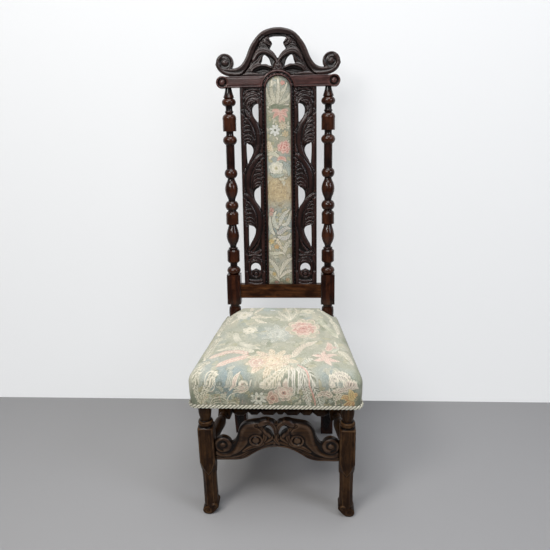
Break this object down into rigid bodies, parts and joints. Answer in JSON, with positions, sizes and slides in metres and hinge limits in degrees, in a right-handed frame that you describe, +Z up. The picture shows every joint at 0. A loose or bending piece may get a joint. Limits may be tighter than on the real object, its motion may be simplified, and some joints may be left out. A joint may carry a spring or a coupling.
{
  "type": "tall back side chair",
  "caption": "Tall side chair with turned posts, pierced carved splats and cresting, a stuffed strip in the back, a stuffed seat and a carved front stretcher",
  "frame": {"origin": "on the floor, at the middle of the chair's box in X and Y", "axes": "+X to the sitter's left, the front of the chair faces -Y, +Z up"},
  "size_m": [0.4556, 0.5189, 1.3033],
  "materials": {
    "dark_oak": "near black brown oak with a worn wax polish",
    "worn_oak": "brown oak, polish worn thin on legs and stretcher",
    "plain_oak": "unpolished frame timber",
    "tapestry": "woven floral tapestry, sage ground",
    "braid": "twisted gimp braid",
    "webbing": "jute webbing",
    "hessian": "open hessian canvas",
    "stuffing": "curled hair under wadding"
  },
  "bodies": {
    "root": {"left_rear_post": "dark_oak", "right_rear_post": "dark_oak", "crest_rail": "dark_oak", "cresting": "dark_oak", "left_splat": "dark_oak", "right_splat": "dark_oak", "lower_back_rail": "dark_oak", "cresting_dowels": "dark_oak", "rear_stretcher": "dark_oak", "left_side_stretcher": "dark_oak", "right_side_stretcher": "dark_oak", "cross_stretcher": "dark_oak", "left_front_leg": "worn_oak", "right_front_leg": "worn_oak", "front_stretcher": "worn_oak", "stretcher_pegs": "worn_oak", "front_seat_rail": "plain_oak", "rear_seat_rail": "plain_oak", "left_seat_rail": "plain_oak", "right_seat_rail": "plain_oak", "corner_blocks": "plain_oak", "panel_board": "plain_oak", "back_pad_stuffing": "stuffing", "seat_stuffing": "stuffing", "back_pad_cover": "tapestry", "seat_cover": "tapestry", "seat_braid": "braid", "seat_webbing": "webbing", "seat_hessian": "hessian"}
  },
  "joints": []
}
